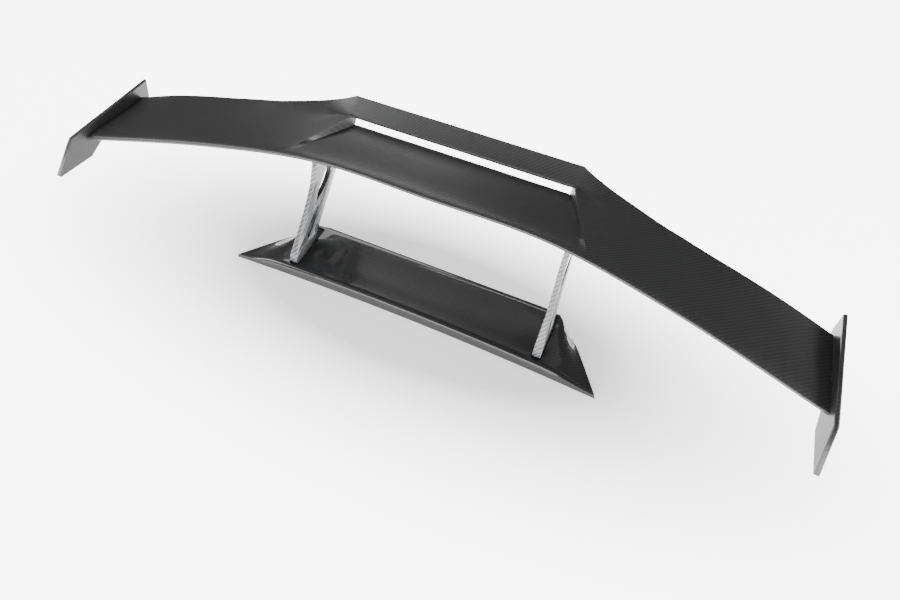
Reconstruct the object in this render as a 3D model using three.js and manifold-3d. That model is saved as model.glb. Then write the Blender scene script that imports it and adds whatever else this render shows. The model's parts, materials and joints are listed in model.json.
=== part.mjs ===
// Racing rear wing: a gull shaped two-element carbon blade with end plates, carried by two
// swept pylons on a deck base panel. Millimetres. +X is the vehicle's left, +Y rearward, +Z up.
// The row origin is the middle of the base panel's underside. The blade and pylons are drawn
// from the pylon toe, the front lower end of each pylon foot.
import * as THREE from 'three';
import { mergeVertices } from 'three/addons/utils/BufferGeometryUtils.js';
import Module from 'manifold-3d';

const wasm = await Module();
wasm.setup();

// ---------------------------------------------------------------- driving dimensions
const SPAN = 1600;              // between the end plates' inner faces
const PYLON_X = 303;            // pylon feet, either side of the middle
const PYLON_LEAN = 10;          // how much nearer the middle the pylon heads stand
const LEAN_FROM = 16;           // heights above the toe between which a pylon leans
const LEAN_TO = 176;
const HEAD_X = PYLON_X - PYLON_LEAN;
const TOE = new THREE.Vector3(0, -52, 24);   // pylon toe line, in the row frame
const FOOT_TILT = THREE.MathUtils.degToRad(10.5);
const GAP = 0.3;                // fitting gap between pieces that touch

// blade edges: [distance from the middle, rearward, up], from the pylon toe
const LEADING_EDGE = [[0, 51, 266], [260, 45, 267], [520, 11, 235], [800, -49, 191]];
const TRAILING_EDGE = [[0, 207, 275], [256, 205, 276], [410, 202, 281], [560, 161, 269],
  [680, 136, 250], [800, 124, 215]];
const SKIN = 1.35;              // laminate thickness of the blade skins
const SECTION_DEPTH = 0.105;    // greatest thickness of the section, share of the chord
const DEEPEST_AT = 0.3;         // where that is, share of the chord
const NOSE_BLUNTNESS = 2.4;
const EDGE_DEPTH = 3.4;         // thickness of the trailing edge
const CAMBER = 6;

// the raised middle: a second element above a slot, which the outer blade rises to meet
const SLOT_HALF = 254;          // the slot's half length
const CHEEK_WIDTH = 8;          // the slanted wall between the front panel and the raised side
const CHEEK_FRONT_X = 331;      // where that wall fades out, near the leading edge
const CHEEK_FRONT = 0.07;       // the same, share of the chord
const CHEEK_BULGE = 1.5;        // above 1 the wall gains its height early
const RISE_END = 455;           // the outer blade starts to rise here
const NOSE_LIFT = 20;           // the second element's nose above the front panel's rear edge
const BRIDGE_RUN = 28;          // second element, nose to trailing edge, rearward
const BRIDGE_RISE = 37;         // and upward
const BRIDGE_NOSE = 8.4;        // its thickness at the nose
const LOWER_LIFT_FROM = 0.72;   // the underside starts to rise here, share of the chord

// pylons and the hinge at their tops
const PYLON_HALF = 5;           // half thickness at mid height
const FOOT_HALF = 9.7;          // half thickness at the foot
const TOP_HALF = 6;             // half thickness between the bracket cheeks
const PIVOT = [136, 237];       // hinge axis, [rearward, up]
const ADJUSTER = [190, 241];    // the adjuster bolt
const BOLT_R = 4;               // M8
const BOLT_HOLE_R = 4.3;
const COLLAR = 1.6;             // thickness of a bolt's collar
const CHEEK_PLATE = 4;          // bracket cheek thickness
const ADJUST_UP = 8;            // degrees the blade turns nose down from rest
const ADJUST_DOWN = 4;          // degrees it turns nose up

const PLATE_THICKNESS = 9;      // end plates

// deck base panel, from the row origin
const BASE_HALF_DEPTH = 80;
const BASE_TIP_X = 447;
const BASE_REAR_X = 345;
const BASE_CORNER_R = 60;
const BASE_BOW = 14;            // the front edge is this much further back in the middle
const BASE_SKIN = 2.5;
const FLOOR_TOP = 3.3;          // top of the base panel's floor sheet
const PAD_LENGTH = 130;
const PAD_WIDTH = 24.6;
const RECESS_DEPTH = 2.5;
const FOOT_BOLTS = [19, 75];    // bolt places along the foot, from the toe
const GASKET = 1.2;

// ---------------------------------------------------------------- materials
const finish = (color, roughness, metalness) =>
  new THREE.MeshStandardMaterial({ color, roughness, metalness });
const satinCarbon = finish(0x34363a, 0.42, 0.1);
const pylonCarbon = finish(0x85888c, 0.35, 0.35);
const glossCarbon = finish(0x101214, 0.08, 0.1);
const rawCarbon = finish(0x26282b, 0.6, 0.05);
const foam = finish(0xd9cfae, 0.95, 0);
const steel = finish(0xa8abb0, 0.3, 1);
const blackAlloy = finish(0x1c1d1f, 0.45, 0.8);
const rubber = finish(0x17181a, 0.85, 0);
const tape = finish(0x232425, 0.9, 0);

// ---------------------------------------------------------------- tools
const lerp = THREE.MathUtils.lerp;
const clamp01 = (value) => THREE.MathUtils.clamp(value, 0, 1);
const UP = new THREE.Vector3(0, 0, 1);
const ACROSS = new THREE.Vector3(1, 0, 0);
const object = new THREE.Group();
const wing = new THREE.Group();
wing.position.copy(TOE);
object.add(wing);

function place(group, name, geometry, material) {
  const mesh = new THREE.Mesh(geometry, material);
  mesh.name = name;
  group.add(mesh);
  return mesh;
}

function triangleVolume(positions, triangles) {
  const corner = [0, 1, 2].map(() => new THREE.Vector3());
  let volume = 0;
  for (let t = 0; t < triangles.length; t += 3) {
    corner.forEach((point, k) => point.fromArray(positions, 3 * triangles[t + k]));
    volume += corner[0].dot(corner[1].cross(corner[2])) / 6;
  }
  return volume;
}

function closedGeometry(positions, triangles) {
  if (triangleVolume(positions, triangles) < 0) triangles.reverse();
  const geometry = new THREE.BufferGeometry();
  geometry.setAttribute('position', new THREE.Float32BufferAttribute(positions, 3));
  geometry.setIndex(triangles);
  return geometry;
}

// A sheet with thickness: face and back are grids of points, and keep(i, j) leaves cells out.
function sheetSolid(face, back, keep = () => true) {
  const rows = face.length;
  const columns = face[0].length;
  const positions = [...face, ...back].flatMap((row) => row.flatMap((p) => [p.x, p.y, p.z]));
  const behind = rows * columns;
  const at = (i, j) => i * columns + j;
  const solid = (i, j) => i >= 0 && j >= 0 && i < rows - 1 && j < columns - 1 && keep(i, j);
  const triangles = [];
  for (let i = 0; i < rows - 1; i += 1) {
    for (let j = 0; j < columns - 1; j += 1) {
      if (!solid(i, j)) continue;
      const cell = [at(i, j), at(i + 1, j), at(i + 1, j + 1), at(i, j + 1)];
      const [a, b, c, d] = cell;
      triangles.push(a, b, c, a, c, d);
      triangles.push(behind + a, behind + c, behind + b, behind + a, behind + d, behind + c);
      const beyond = [[i, j - 1], [i + 1, j], [i, j + 1], [i - 1, j]];
      beyond.forEach(([ni, nj], k) => {
        if (solid(ni, nj)) return;
        const [p, q] = [cell[k], cell[(k + 1) % 4]];
        triangles.push(q, p, behind + p, q, behind + p, behind + q);
      });
    }
  }
  return closedGeometry(positions, triangles);
}

// The back of a sheet, a wall thickness away from its face along the averaged normals.
// flatten(i, j) lists the axes that the wall must not lean along, as at a seam or a rim.
function offsetGrid(face, distance, keep, flatten) {
  const rows = face.length;
  const columns = face[0].length;
  const normals = face.map((row) => row.map(() => new THREE.Vector3()));
  for (let i = 0; i < rows - 1; i += 1) {
    for (let j = 0; j < columns - 1; j += 1) {
      if (!keep(i, j)) continue;
      const across = face[i + 1][j + 1].clone().sub(face[i][j]);
      const down = face[i][j + 1].clone().sub(face[i + 1][j]);
      const normal = across.cross(down).normalize();
      [[i, j], [i + 1, j], [i + 1, j + 1], [i, j + 1]].forEach(([a, b]) => normals[a][b].add(normal));
    }
  }
  return face.map((row, i) => row.map((point, j) => {
    const normal = normals[i][j];
    flatten(i, j).forEach((axis) => normal.addScaledVector(axis, -normal.dot(axis)));
    return point.clone().addScaledVector(normal.normalize(), distance);
  }));
}

// A bar through rings of points that all have the same count, closed by flat ends.
function barSolid(rings) {
  const count = rings[0].length;
  const positions = rings.flatMap((points) => points.flatMap((p) => [p.x, p.y, p.z]));
  const triangles = [];
  for (let r = 0; r < rings.length - 1; r += 1) {
    for (let k = 0; k < count; k += 1) {
      const [a, b] = [r * count + k, r * count + ((k + 1) % count)];
      triangles.push(a, b, b + count, a, b + count, a + count);
    }
  }
  const cap = (points, start, reverse) => {
    const flat = points.map((p) => new THREE.Vector2(p.y, p.z));
    THREE.ShapeUtils.triangulateShape(flat, []).forEach(([a, b, c]) => {
      const face = [start + a, start + b, start + c];
      triangles.push(...(reverse ? face.reverse() : face));
    });
  };
  const outline = rings[0].map((p) => new THREE.Vector2(p.y, p.z));
  const clockwise = THREE.ShapeUtils.area(outline) < 0;
  cap(rings[0], 0, !clockwise);
  cap(rings[rings.length - 1], (rings.length - 1) * count, clockwise);
  return closedGeometry(positions, triangles);
}

// A plate from a side view outline of [rearward, up] points, centred on the plane x.
function sidePlate(shape, thickness, x, bevel = 0, steps = 1) {
  const geometry = new THREE.ExtrudeGeometry(shape, {
    depth: thickness - 2 * bevel, steps, curveSegments: 6, bevelEnabled: bevel > 0,
    bevelThickness: bevel, bevelSize: bevel, bevelOffset: -bevel, bevelSegments: 2,
  });
  geometry.translate(0, 0, bevel - thickness / 2);
  const turn = new THREE.Matrix4().makeBasis(
    new THREE.Vector3(0, 1, 0), new THREE.Vector3(0, 0, 1), new THREE.Vector3(1, 0, 0));
  return geometry.applyMatrix4(turn).translate(x, 0, 0);
}

const shapeOf = (points) => new THREE.Shape(points.map(([y, z]) => new THREE.Vector2(y, z)));

function circlePath(y, z, radius) {
  return new THREE.Path().absarc(y, z, radius, 0, 2 * Math.PI, true);
}

// A turned piece about +Z from [radius, height] points.
const turned = (profile, sides = 12) =>
  new THREE.LatheGeometry(profile.map(([r, z]) => new THREE.Vector2(r, z)), sides).rotateX(Math.PI / 2);

const rod = (radius, low, high, sides = 12) =>
  turned([[0, low], [radius, low], [radius, high], [0, high]], sides);

const ring = (inner, outer, low, high, sides = 12) =>
  turned([[inner, low], [outer, low], [outer, high], [inner, high], [inner, low]], sides);

// A socket head bolt with a collar, standing on z = 0 with its shank upward.
function boltGeometry(shankR, length, headR, headHeight, collarR = headR) {
  const socketR = shankR * 0.72;
  const collar = collarR > headR ? [[headR, -COLLAR], [collarR, -COLLAR], [collarR, 0]] : [[headR, 0]];
  return turned([[0, -headHeight / 2], [socketR, -headHeight / 2], [socketR, -headHeight],
    [headR, -headHeight], ...collar, [shankR, 0], [shankR, length], [0, length]]);
}

const nutGeometry = (boreR, across, height) => cut(
  new THREE.CylinderGeometry(across / Math.sqrt(3), across / Math.sqrt(3), height, 6)
    .rotateX(Math.PI / 2).translate(0, 0, height / 2),
  rod(boreR, -1, height + 1));

function toManifold(geometry) {
  const bare = geometry.clone();
  ['normal', 'uv'].forEach((name) => bare.deleteAttribute(name));
  const merged = mergeVertices(bare, 1e-4);
  return new wasm.Manifold(new wasm.Mesh({
    numProp: 3,
    vertProperties: new Float32Array(merged.attributes.position.array),
    triVerts: new Uint32Array(merged.index.array),
  }));
}

function fromManifold(solid) {
  const mesh = solid.getMesh();
  const geometry = new THREE.BufferGeometry();
  geometry.setAttribute('position', new THREE.BufferAttribute(mesh.vertProperties, 3));
  geometry.setIndex(new THREE.BufferAttribute(mesh.triVerts, 1));
  return geometry;
}

const combine = (verb) => (body, ...tools) =>
  fromManifold(tools.reduce((solid, tool) => solid[verb](toManifold(tool)), toManifold(body)));
const cut = combine('subtract');
const join = combine('add');

// Two sides of the vehicle: pieces named left sit at +X.
const SIDES = [['left', 1], ['right', -1]];

// ---------------------------------------------------------------- blade surfaces
// A smooth curve through stations of [distance, y, z], level where it crosses the middle.
function spanCurve(stations) {
  const first = stations[1];
  const points = [[-first[0], first[1], first[2]], ...stations];
  const slope = (k, axis) => {
    const before = points[Math.max(k - 1, 0)];
    const after = points[Math.min(k + 1, points.length - 1)];
    return (after[axis] - before[axis]) / (after[0] - before[0]);
  };
  return (x) => {
    const distance = Math.min(Math.abs(x), points[points.length - 1][0]);
    let k = 1;
    while (k < points.length - 2 && distance > points[k + 1][0]) k += 1;
    const width = points[k + 1][0] - points[k][0];
    const s = (distance - points[k][0]) / width;
    return [1, 2].map((axis) => {
      const [start, end] = [points[k][axis], points[k + 1][axis]];
      const [m0, m1] = [slope(k, axis) * width, slope(k + 1, axis) * width];
      return start * (1 + 2 * s) * (1 - s) ** 2 + m0 * s * (1 - s) ** 2
        + end * s * s * (3 - 2 * s) - m1 * s * s * (1 - s);
    });
  };
}

const leadingEdge = spanCurve(LEADING_EDGE);
const trailingEdge = spanCurve(TRAILING_EDGE);

function sectionHalfDepth(share, chord) {
  const deepest = SECTION_DEPTH * chord;
  if (share < DEEPEST_AT) {
    const ahead = 1 - share / DEEPEST_AT;
    return Math.max(deepest * (1 - ahead ** NOSE_BLUNTNESS) ** (1 / NOSE_BLUNTNESS), GAP) / 2;
  }
  const behind = (share - DEEPEST_AT) / (1 - DEEPEST_AT);
  return lerp(deepest, EDGE_DEPTH, behind ** 1.5) / 2;
}

// A point of the plain blade, before its middle is raised. side: 1 upper, -1 lower face.
function plainPoint(x, share, side, inset = 0) {
  const [y0, z0] = leadingEdge(x);
  const [y1, z1] = trailingEdge(x);
  const chord = Math.hypot(y1 - y0, z1 - z0);
  const [cy, cz] = [(y1 - y0) / chord, (z1 - z0) / chord];
  const height = side * (sectionHalfDepth(share, chord) - inset) - CAMBER * 4 * share * (1 - share);
  return new THREE.Vector3(x, y0 + cy * chord * share - cz * height, z0 + cz * chord * share + cy * height);
}

// How far the raised middle reaches at a distance from the centre: 1 inboard, 0 outboard.
function riseShare(x) {
  const outward = clamp01((Math.abs(x) - SLOT_HALF - CHEEK_WIDTH) / (RISE_END - SLOT_HALF));
  return (1 - outward) ** 1.7;
}

// The second element's own section: p runs up and back along it, q out of its upper face.
const BRIDGE_CHORD = Math.hypot(BRIDGE_RUN, BRIDGE_RISE);
const bridgeOffset = (p, q) => [
  (p * BRIDGE_RUN - q * BRIDGE_RISE) / BRIDGE_CHORD,
  NOSE_LIFT + (p * BRIDGE_RISE + q * BRIDGE_RUN) / BRIDGE_CHORD,
];
const noseArc = (degrees) => {
  const radius = BRIDGE_NOSE / 2;
  const turn = THREE.MathUtils.degToRad(degrees);
  return [radius - radius * Math.cos(turn), radius * Math.sin(turn) - radius];
};

// Rows of the two skins, from the leading to the trailing edge. front: share of the front
// panel; raised and outer: share of the plain chord beside the slot and far outboard;
// bridge: [p, q] on the second element.
const frontRows = (shares) => shares.map((front) => ({ front, raised: front * 0.93, outer: front * 0.78 }));
const bridgeAt = (share, q) => [BRIDGE_NOSE / 2 + share * (BRIDGE_CHORD - BRIDGE_NOSE / 2), q];
const UPPER_ROWS = [
  ...frontRows([0, 0.005, 0.025, 0.07, 0.15, 0.28, 0.45, 0.64, 0.83, 1]),
  { bridge: noseArc(-20), raised: 0.955, outer: 0.81 },
  { bridge: noseArc(30), raised: 0.98, outer: 0.84 },
  { bridge: noseArc(90), raised: 1, outer: 0.87, beyond: true },
  { bridge: bridgeAt(0.5, -0.4), raised: 1, outer: 0.93, beyond: true },
  { bridge: bridgeAt(1, 0), raised: 1, outer: 1, beyond: true },
];
const LOWER_ROWS = [
  ...frontRows([0, 0.005, 0.025, 0.08, 0.2, 0.36, 0.56, 0.78, 1]),
  { bridge: noseArc(-75), raised: 1, outer: 0.85, beyond: true },
  { bridge: bridgeAt(0.5, -BRIDGE_NOSE + 1.8), raised: 1, outer: 0.92, beyond: true },
  { bridge: bridgeAt(1, -EDGE_DEPTH), raised: 1, outer: 1, beyond: true },
];

// Columns of the skins: the front panel's stretch up to the cheek's foot, and the outer
// blade's from the cheek's ridge to the end plate.
const INNER_COLUMNS = [0, 0.22, 0.44, 0.66, 0.84, 1];
const OUTER_COLUMNS = [0, 0.012, 0.05, 0.1, 0.16, 0.23, 0.31, 0.4, 0.51, 0.64, 0.8, 1];

function bladeSkin(rowSet, side) {
  const endX = SPAN / 2 - GAP;
  const shift = side > 0 ? 0 : CHEEK_WIDTH;      // the lower skin's walls stand outside the upper's
  const lift = (share) => (side > 0
    ? NOSE_LIFT * (1 - (1 - clamp01((share - CHEEK_FRONT) / (1 - CHEEK_FRONT))) ** CHEEK_BULGE)
    : (NOSE_LIFT - BRIDGE_NOSE) * clamp01((share - LOWER_LIFT_FROM) / (1 - LOWER_LIFT_FROM)) ** 2);
  const ridgeX = (row) => SLOT_HALF + CHEEK_WIDTH + shift
    + (CHEEK_FRONT_X - SLOT_HALF - CHEEK_WIDTH) * (1 - clamp01((row.raised - CHEEK_FRONT) / (0.93 - CHEEK_FRONT)));
  const bridgePoint = (x, row) => {
    const [y, z] = trailingEdge(x);
    const [dy, dz] = bridgeOffset(...row.bridge);
    return new THREE.Vector3(x, y + dy, z + dz);
  };
  const innerPoint = (x, row) => (row.bridge ? bridgePoint(x, row) : plainPoint(x, row.front, side));
  const outerPoint = (x, row) => {
    const rise = riseShare(x);
    const plain = plainPoint(x, lerp(row.outer, row.raised, rise), side);
    if (!row.beyond) return plain.add(new THREE.Vector3(0, 0, rise * lift(row.raised)));
    const top = plainPoint(x, 1, side);
    const raised = bridgePoint(x, row);
    return plain.add(new THREE.Vector3(0, (raised.y - top.y) * rise, (raised.z - top.z) * rise));
  };
  const half = rowSet.map((row) => {
    const ridge = ridgeX(row);
    const foot = ridge - CHEEK_WIDTH;
    return [
      ...INNER_COLUMNS.map((k) => innerPoint(k * foot, row)),
      ...OUTER_COLUMNS.map((k) => outerPoint(lerp(ridge, endX, k), row)),
    ];
  });
  const mirrored = (p) => new THREE.Vector3(-p.x, p.y, p.z);
  const face = half.map((row) => [...row.slice(1).map(mirrored).reverse(), ...row]);
  const slotRow = rowSet.findIndex((row) => row.bridge) - 1;
  const reach = INNER_COLUMNS.length - 1;
  const middle = half[0].length - 1;
  const keep = (i, j) => !(i === slotRow && j >= middle - reach && j < middle + reach);
  const last = face[0].length - 1;
  const seams = (i, j) => [...(i === 0 ? [UP] : []), ...(j === 0 || j === last ? [ACROSS] : [])];
  const back = offsetGrid(face, side > 0 ? SKIN : -SKIN, keep, seams);
  return sheetSolid(face, back, keep);
}

// ---------------------------------------------------------------- blade interior
const WALL = SKIN + 0.9;        // from the blade's face to an inner piece

function spar(share, width, reach) {
  const stations = 20;
  const rings = [];
  for (let k = 0; k <= stations; k += 1) {
    const x = lerp(-reach, reach, k / stations);
    const top = plainPoint(x, share, 1, WALL + 0.8);
    const bottom = plainPoint(x, share, -1, WALL + 0.8);
    rings.push([[top, -1], [top, 1], [bottom, 1], [bottom, -1]].map(([p, s]) =>
      new THREE.Vector3(x, p.y + s * width / 2, p.z)));
  }
  return barSolid(rings);
}

// A rib or block that fills the section between two shares of the chord.
function chordBlock(x, thickness, shares, inset = WALL) {
  const rings = [-1, 1].map((s) => {
    const at = x + s * thickness / 2;
    return [
      ...shares.map((share) => plainPoint(at, share, 1, inset)),
      ...[...shares].reverse().map((share) => plainPoint(at, share, -1, inset)),
    ];
  });
  return barSolid(rings);
}

const FRONT_SPAR = 0.15;
const REAR_SPAR = 0.42;
const SPAR_WIDTH = 3;
const RIB_WIDTH = 4;
const END_RIB_WIDTH = 10;
const endRibX = SPAN / 2 - 1 - END_RIB_WIDTH / 2;
const BETWEEN_SPARS = [FRONT_SPAR + 0.02, 0.24, 0.32, REAR_SPAR - 0.02];

place(wing, 'blade_upper_skin', bladeSkin(UPPER_ROWS, 1), satinCarbon);
place(wing, 'front_spar', spar(FRONT_SPAR, SPAR_WIDTH, endRibX - END_RIB_WIDTH), rawCarbon);
place(wing, 'rear_spar', spar(REAR_SPAR, SPAR_WIDTH, endRibX - END_RIB_WIDTH), rawCarbon);
place(wing, 'centre_rib', chordBlock(0, RIB_WIDTH, BETWEEN_SPARS), rawCarbon);

// The foam bar that fills the second element between its skins.
function bridgeCore() {
  const reach = SLOT_HALF - 6;
  const outline = [[5, -2.2], [BRIDGE_CHORD * 0.55, -2.3], [BRIDGE_CHORD * 0.55, -3.9], [5, -6.2]];
  const rings = [-1, -0.5, 0, 0.5, 1].map((k) => outline.map(([p, q]) => {
    const [y, z] = trailingEdge(k * reach);
    const [dy, dz] = bridgeOffset(p, q);
    return new THREE.Vector3(k * reach, y + dy, z + dz);
  }));
  return barSolid(rings);
}
place(wing, 'second_element_core', bridgeCore(), foam);

// ---------------------------------------------------------------- hinge brackets and pylons
const FLANGE_SLOPE = 0.185;
const FLANGE_SHARES = [0.47, 0.58, 0.69, 0.8];              // shares of the blade's chord
const FLANGE_HALF = TOP_HALF + GAP + CHEEK_PLATE + 9;
const FLANGE_SCREWS = [-1, 1].flatMap((s) => [0.5, 0.685].map((share) => [s * (FLANGE_HALF - 4.5), share]));
const SCREW_R = 2.5;             // M5
const SCREW_HOLE_R = 2.75;
const SCREW_SIDES = 10;

// Height of the flange's flat underside, which the cheeks hang from.
const flangeUnder = (y) => PIVOT[1] + 12 + FLANGE_SLOPE * (y - PIVOT[0]);

function flange(x) {
  const columns = [-1, 0, 1].map((k) => x + k * FLANGE_HALF);
  const top = FLANGE_SHARES.map((share) => columns.map((at) => {
    const point = plainPoint(at, share, -1);
    return point.setZ(point.z - GAP);
  }));
  const under = top.map((row) => row.map((p) => new THREE.Vector3(p.x, p.y, flangeUnder(p.y))));
  return sheetSolid(top, under);
}

function cheekShape() {
  const shape = new THREE.Shape();
  const round = 12;
  const [front, rear] = [PIVOT[0] - round, ADJUSTER[0] + round];
  shape.moveTo(front, flangeUnder(front) + 1);
  shape.lineTo(front, PIVOT[1]);
  shape.absarc(...PIVOT, round, Math.PI, 1.5 * Math.PI, false);
  shape.absarc(ADJUSTER[0], ADJUSTER[1] - 5, round, 1.5 * Math.PI, 2 * Math.PI, false);
  shape.lineTo(rear, flangeUnder(rear) - 6);
  shape.lineTo(rear - 24, flangeUnder(rear - 24) + 1);
  shape.holes.push(circlePath(...PIVOT, BOLT_HOLE_R), adjusterSlot());
  return shape;
}

// The curved slot about the pivot that the adjuster bolt runs in as the blade turns.
function adjusterSlot() {
  const radius = Math.hypot(ADJUSTER[0] - PIVOT[0], ADJUSTER[1] - PIVOT[1]);
  const rest = Math.atan2(ADJUSTER[1] - PIVOT[1], ADJUSTER[0] - PIVOT[0]);
  const low = rest - THREE.MathUtils.degToRad(ADJUST_UP + 0.5);
  const high = rest + THREE.MathUtils.degToRad(ADJUST_DOWN + 0.5);
  const on = (angle) => [PIVOT[0] + radius * Math.cos(angle), PIVOT[1] + radius * Math.sin(angle)];
  const path = new THREE.Path();
  path.absarc(...PIVOT, radius + BOLT_HOLE_R, high, low, true);
  path.absarc(...on(low), BOLT_HOLE_R, low, low - Math.PI, true);
  path.absarc(...PIVOT, radius - BOLT_HOLE_R, low, high, false);
  path.absarc(...on(high), BOLT_HOLE_R, high + Math.PI, high, true);
  return path;
}

const screwPlaces = (x) => FLANGE_SCREWS.map(([dx, share]) => plainPoint(x + dx, share, -1));

function bracket(x) {
  const cheeks = [-1, 1].map((s) =>
    sidePlate(cheekShape(), CHEEK_PLATE, x + s * (TOP_HALF + GAP + CHEEK_PLATE / 2)));
  const holes = screwPlaces(x).map((p) => rod(SCREW_HOLE_R, -30, 30, SCREW_SIDES).translate(p.x, p.y, p.z));
  return cut(join(flange(x), ...cheeks), ...holes);
}

const SCREW_DEPTH = 11;          // from the blade's underside up into the hardpoint
const screwHeadZ = (p) => flangeUnder(p.y) - GAP - 1.2;

const flangeScrew = (p) =>
  boltGeometry(SCREW_R, p.z + SCREW_DEPTH - 2 - screwHeadZ(p), 4.2, 4).translate(p.x, p.y, screwHeadZ(p));

function hardpoint(x) {
  const block = chordBlock(x, 2 * FLANGE_HALF, [REAR_SPAR + 0.03, 0.55, 0.64, 0.7]);
  const holes = screwPlaces(x).map((p) =>
    rod(SCREW_HOLE_R, -5, SCREW_DEPTH - 1.5, SCREW_SIDES).translate(p.x, p.y, p.z));
  return cut(block, ...holes);
}

// Side view of the pylon, [rearward, up] from the toe; the foot line slopes with FOOT_TILT.
function pylonShape() {
  const shape = new THREE.Shape();
  const swing = (y) => (y > PIVOT[0] ? ADJUST_DOWN : ADJUST_UP) + 1;
  const topAt = (y) => flangeUnder(y) - 2.4
    - Math.abs(y - PIVOT[0]) * Math.tan(THREE.MathUtils.degToRad(swing(y)));
  shape.moveTo(2, 0.4);
  shape.lineTo(83, 83 * Math.tan(FOOT_TILT));
  shape.quadraticCurveTo(89, 17, 86, 22);
  shape.quadraticCurveTo(80, 30, 88, 39);
  shape.bezierCurveTo(103, 52, 114, 68, 125, 88);
  shape.bezierCurveTo(138, 112, 154, 132, 167, 154);
  shape.bezierCurveTo(179, 172, 188, 190, 193, 210);
  shape.lineTo(202, 240);
  shape.quadraticCurveTo(204, topAt(204) - 1, 196, topAt(196));
  shape.lineTo(132, topAt(132));
  shape.quadraticCurveTo(110, 243, 99, 232);
  shape.bezierCurveTo(90, 220, 88, 190, 72, 158);
  shape.bezierCurveTo(56, 124, 29, 78, 8, 36);
  shape.bezierCurveTo(2, 24, -3, 14, -3, 6);
  shape.quadraticCurveTo(-3, 0.6, 2, 0.4);
  shape.holes.push(lensPath([49, 42], [98, 108], 11, 10), lensPath([90, 126], [156, 210], 12, 17));
  shape.holes.push(circlePath(...PIVOT, BOLT_HOLE_R), circlePath(...ADJUSTER, BOLT_HOLE_R));
  return shape;
}

// A long leaf shaped opening between two points, bulging by the given amounts to each side.
function lensPath([y0, z0], [y1, z1], ahead, behind) {
  const length = Math.hypot(y1 - y0, z1 - z0);
  const [ay, az] = [(y1 - y0) / length, (z1 - z0) / length];
  const off = (share, side) => [y0 + (y1 - y0) * share - az * side, z0 + (z1 - z0) * share + ay * side];
  const path = new THREE.Path().moveTo(y0, z0);
  path.bezierCurveTo(...off(0.25, ahead * 1.2), ...off(0.75, ahead * 1.2), y1, z1);
  path.bezierCurveTo(...off(0.7, -behind * 1.4), ...off(0.3, -behind * 1.2), y0, z0);
  return path;
}

const smooth = (value) => value * value * (3 - 2 * value);
// Half thickness up the pylon: a broad foot, a thin middle, and a wider head in the bracket.
function pylonHalf(z) {
  const foot = lerp(FOOT_HALF, PYLON_HALF, smooth(clamp01((z - 22) / 50)));
  return lerp(foot, TOP_HALF, smooth(clamp01((z - 130) / 80)));
}

const footMatrix = (x) => new THREE.Matrix4().makeRotationX(FOOT_TILT).setPosition(x, 0, 0);
const onFoot = (x, geometry) => geometry.applyMatrix4(footMatrix(x));
const INSERT_R = 6;
const INSERT_TOP = 16;

// The pylon's leg leans towards the middle; its foot and its head stand upright.
function pylonPart(blank, cutAway, s) {
  const part = cut(blank, cutAway);
  const points = part.attributes.position;
  for (let k = 0; k < points.count; k += 1) {
    const z = points.getZ(k);
    const lean = PYLON_LEAN * clamp01((z - LEAN_FROM) / (LEAN_TO - LEAN_FROM));
    points.setX(k, s * (PYLON_X - lean) + points.getX(k) * pylonHalf(z));
  }
  return part;
}

function pylon(s) {
  const blank = sidePlate(pylonShape(), 2, 0, 0.45);
  const reach = 600;
  const headSpace = new THREE.BoxGeometry(reach, reach, reach).translate(0, 0, LEAN_TO + reach / 2);
  const legSpace = new THREE.BoxGeometry(reach, reach, reach).translate(0, 0, LEAN_TO - reach / 2);
  const whole = join(pylonPart(blank, headSpace, s), pylonPart(blank, legSpace, s));
  const bores = FOOT_BOLTS.map((y) =>
    onFoot(s * PYLON_X, rod(INSERT_R + GAP, -6, INSERT_TOP + GAP).translate(0, y, 0)));
  return cut(whole, ...bores);
}

// A bolt or nut turned to lie along X, its head towards the vehicle's middle.
const alongX = (geometry, outward, x, [y, z]) =>
  geometry.rotateY(outward * Math.PI / 2).translate(x, y, z);

const BRACKET_OUT = TOP_HALF + GAP + CHEEK_PLATE;

SIDES.forEach(([side, s]) => {
  const x = s * HEAD_X;
  place(wing, `${side}_hardpoint`, hardpoint(x), blackAlloy);
  place(wing, `${side}_hinge_bracket`, bracket(x), blackAlloy);
  screwPlaces(x).forEach((p, k) =>
    place(wing, `${side}_bracket_screw_${k + 1}`, flangeScrew(p), steel));
  place(wing, `${side}_inner_rib`, chordBlock(s * 150, RIB_WIDTH, BETWEEN_SPARS), rawCarbon);
  place(wing, `${side}_outer_rib`, chordBlock(s * 470, RIB_WIDTH, BETWEEN_SPARS), rawCarbon);
  place(wing, `${side}_pylon`, pylon(s), pylonCarbon);
  const seat = BRACKET_OUT + GAP;
  [['pivot', PIVOT], ['adjuster', ADJUSTER]].forEach(([name, point]) => {
    place(wing, `${side}_${name}_bolt`,
      alongX(boltGeometry(BOLT_R, 2 * seat + 9, 6.5, 8, 8), s, x - s * seat, point), steel);
    place(wing, `${side}_${name}_nut`,
      alongX(nutGeometry(BOLT_HOLE_R, 13, 6.5), s, x + s * seat, point), steel);
  });
});

const bracketHoles = SIDES.flatMap(([, s]) => screwPlaces(s * HEAD_X)).map((p) =>
  rod(SCREW_HOLE_R, -8, 8, SCREW_SIDES).translate(p.x, p.y, p.z));
place(wing, 'blade_lower_skin', cut(bladeSkin(LOWER_ROWS, -1), ...bracketHoles), satinCarbon);

// ---------------------------------------------------------------- end plates
const PLATE_OUTLINE = [[152, 251], [-86, 209], [-94, 201], [-146, 145], [-141, 139], [-53, 146],
  [-19, 167], [60, 182], [142, 205], [149, 212]];
const PLATE_SCREWS = [0.2, 0.4, 0.62];
const countersunk = () =>
  turned([[0, -0.6], [5, -0.6], [5, 0], [SCREW_R, 2.6], [SCREW_R, 16], [0, 16]], SCREW_SIDES);

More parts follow.
